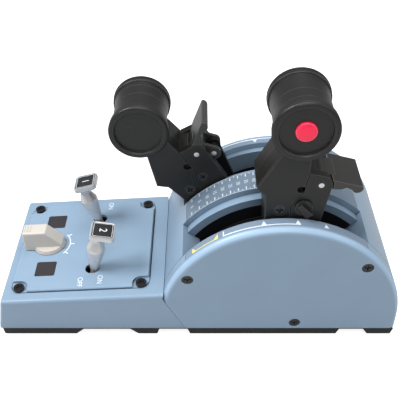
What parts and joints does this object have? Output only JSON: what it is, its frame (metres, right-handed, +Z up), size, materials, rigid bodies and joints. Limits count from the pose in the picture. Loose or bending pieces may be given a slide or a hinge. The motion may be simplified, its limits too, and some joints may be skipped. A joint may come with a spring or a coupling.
{
  "type": "throttle quadrant",
  "caption": "Desktop throttle quadrant: thrust levers with spool grips, grip buttons and reverser levers on a slotted half-drum housing, beside a low switch panel.",
  "frame": {"origin": "on the desk plane, at the middle of the unit's footprint", "axes": "+X to the right seen from the pilot's seat, +Y forward away from the pilot, +Z up from the desk"},
  "size_m": [0.0972, 0.2496, 0.1668],
  "materials": {
    "blue_shell": "satin light steel blue paint",
    "blue_scale": "satin printed strip",
    "black_scale": "satin printed strip",
    "black_base": "moulded, matt",
    "black_plastic": "moulded, matt",
    "arm_black": "finely textured, matt",
    "rubber_pad": "matt",
    "black_screw": "black oxide",
    "toggle_metal": "satin",
    "cream_plastic": "satin",
    "red_button": "satin",
    "dark_window": "smoked, satin",
    "steel": "bright",
    "brass": "plain",
    "washer_plastic": "plain",
    "circuit_board": "solder mask"
  },
  "bodies": {
    "housing": {"base_plate": "black_base", "foot_pads": "rubber_pad", "base_screws": "black_screw", "main_housing": "blue_shell", "cheek_right": "blue_shell", "cheek_left": "blue_shell", "cheek_screws": "black_screw", "scale_strip_mid": "black_scale", "scale_strips_side": "blue_scale", "slot_trough_right": "black_plastic", "slot_trough_left": "black_plastic", "panel_housing": "blue_shell", "panel_plate": "blue_shell", "panel_screws": "black_screw", "indicator_windows": "dark_window", "panel_board": "circuit_board", "toggle_bodies": "black_plastic", "selector_body": "black_plastic", "main_board": "circuit_board", "usb_socket": "steel", "lever_chassis": "black_plastic", "pivot_shaft": "steel", "friction_washers": "washer_plastic", "sensor_boards": "circuit_board"},
    "lever_right": {"lever_core_right": "black_plastic", "hub_bush_right": "brass", "sensor_magnet_right": "steel", "arm_shell_outer_right": "arm_black", "arm_shell_inner_right": "arm_black", "hinge_brackets_right": "arm_black", "arm_screws_right": "black_screw", "hinge_pin_right": "steel", "grip_waist_right": "arm_black", "grip_cap_outer_right": "arm_black", "grip_cap_inner_right": "arm_black"},
    "reverse_lever_right": {"reverser_right": "arm_black", "reverser_pins_right": "steel"},
    "push_rod_right": {"link_rod_right": "black_plastic"},
    "button_right": {"grip_button_right": "red_button"},
    "lock_right": {"lock_knob_right": "arm_black"},
    "lever_left": {"lever_core_left": "black_plastic", "hub_bush_left": "brass", "sensor_magnet_left": "steel", "arm_shell_outer_left": "arm_black", "arm_shell_inner_left": "arm_black", "hinge_brackets_left": "arm_black", "arm_screws_left": "black_screw", "hinge_pin_left": "steel", "grip_waist_left": "arm_black", "grip_cap_outer_left": "arm_black", "grip_cap_inner_left": "arm_black"},
    "reverse_lever_left": {"reverser_left": "arm_black", "reverser_pins_left": "steel"},
    "push_rod_left": {"link_rod_left": "black_plastic"},
    "button_left": {"grip_button_left": "red_button"},
    "lock_left": {"lock_knob_left": "arm_black"},
    "toggle_one_lever": {"toggle_one": "toggle_metal"},
    "toggle_two_lever": {"toggle_two": "toggle_metal"},
    "selector": {"mode_knob": "cream_plastic"}
  },
  "joints": [
    {"name": "lever_right_axis", "type": "hinge", "parent": "housing", "child": "lever_right", "pos_m": [0.0236, 0.05075, 0.015], "axis": [1, 0, 0], "range_deg": [-25, 42.4]},
    {"name": "reverse_lever_right_hinge", "type": "hinge", "parent": "lever_right", "child": "reverse_lever_right", "pos_m": [0.0236, 0.06855, 0.1113], "axis": [1, 0, 0], "range_deg": [0, 43]},
    {"name": "push_rod_right_pin", "type": "hinge", "parent": "reverse_lever_right", "child": "push_rod_right", "pos_m": [0.0262, 0.06675, 0.1003], "axis": [1, 0, 0], "range_deg": [-54, 0]},
    {"name": "button_right_press", "type": "slide", "parent": "lever_right", "child": "button_right", "axis": [-1, 0, 0], "range_m": [0, 0.0018], "stiffness_N_per_m": 600, "springref_m": -0.001},
    {"name": "lock_right_turn", "type": "hinge", "parent": "lever_right", "child": "lock_right", "pos_m": [0.037, 0.06015, 0.096], "axis": [1, 0, 0], "range_deg": [0, 90]},
    {"name": "lever_left_axis", "type": "hinge", "parent": "housing", "child": "lever_left", "pos_m": [-0.0236, 0.05075, 0.015], "axis": [1, 0, 0], "range_deg": [-66.9, 0.5]},
    {"name": "reverse_lever_left_hinge", "type": "hinge", "parent": "lever_left", "child": "reverse_lever_left", "pos_m": [-0.0236, -0.00031, 0.09856], "axis": [1, 0, 0], "range_deg": [-43, 0]},
    {"name": "push_rod_left_pin", "type": "hinge", "parent": "reverse_lever_left", "child": "push_rod_left", "pos_m": [-0.0262, 0.01048, 0.09579], "axis": [1, 0, 0], "range_deg": [0, 54]},
    {"name": "button_left_press", "type": "slide", "parent": "lever_left", "child": "button_left", "axis": [1, 0, 0], "range_m": [0, 0.0018], "stiffness_N_per_m": 600, "springref_m": -0.001},
    {"name": "lock_left_turn", "type": "hinge", "parent": "lever_left", "child": "lock_left", "pos_m": [-0.037, 0.00365, 0.08157], "axis": [-1, 0, 0], "range_deg": [0, 90]},
    {"name": "toggle_one_throw", "type": "hinge", "parent": "housing", "child": "toggle_one_lever", "pos_m": [-0.024, -0.066, 0.02916], "axis": [1, 0, 0], "range_deg": [-24.8, 0]},
    {"name": "toggle_two_throw", "type": "hinge", "parent": "housing", "child": "toggle_two_lever", "pos_m": [0.024, -0.066, 0.02916], "axis": [1, 0, 0], "range_deg": [0, 24.8]},
    {"name": "selector_turn", "type": "hinge", "parent": "housing", "child": "selector", "pos_m": [0, -0.09731, 0.03323], "axis": [0, -0.0617, 0.9981], "range_deg": [-35, 35]}
  ],
  "couplings": [
    {"joint": "push_rod_right_pin", "follows": "reverse_lever_right_hinge", "ratio": -1.2406},
    {"joint": "push_rod_left_pin", "follows": "reverse_lever_left_hinge", "ratio": -1.2406}
  ]
}
